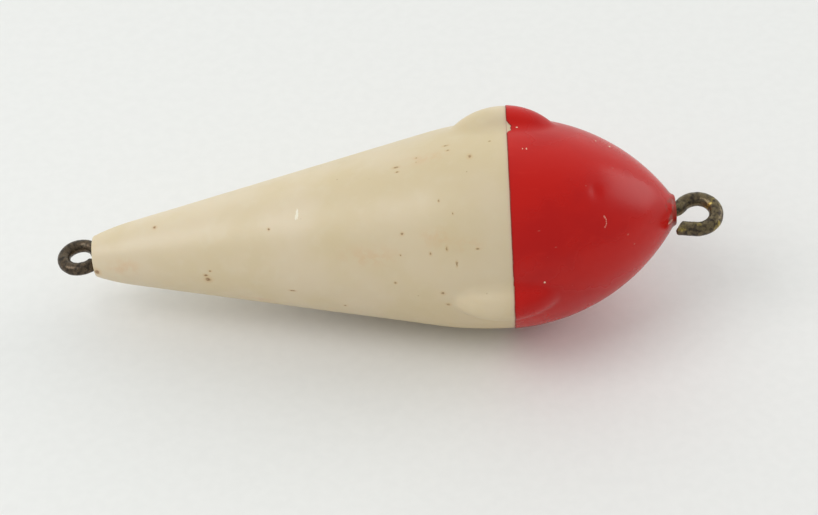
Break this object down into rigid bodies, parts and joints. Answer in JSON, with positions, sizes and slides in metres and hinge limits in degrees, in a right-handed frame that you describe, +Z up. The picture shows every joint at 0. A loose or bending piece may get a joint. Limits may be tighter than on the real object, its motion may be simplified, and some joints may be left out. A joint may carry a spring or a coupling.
{
  "type": "fishing float",
  "caption": "Slim moulded fishing float: long ivory cone tail, domed red nose, side lugs across the seam and a wire line eye in each end.",
  "frame": {"origin": "on the table under the middle of the float's box, with the float lying on the widest part of its belly", "axes": "+X along the float towards the red nose, whose end is tipped up 5 degrees; +Z up; +Y to the side, away from the lug that faces out level"},
  "size_m": [0.0796, 0.027, 0.0259],
  "materials": {
    "ivory_plastic": "satin",
    "red_paint": "gloss",
    "cement": "gloss",
    "tail_wire": "satin",
    "nose_wire": "satin",
    "lead": "matte"
  },
  "bodies": {
    "root": {"tail_shell": "ivory_plastic", "nose_shell": "ivory_plastic", "red_coat": "red_paint", "seam_cement": "cement", "tail_eye": "tail_wire", "nose_eye": "nose_wire", "nose_weight": "lead"}
  },
  "joints": []
}
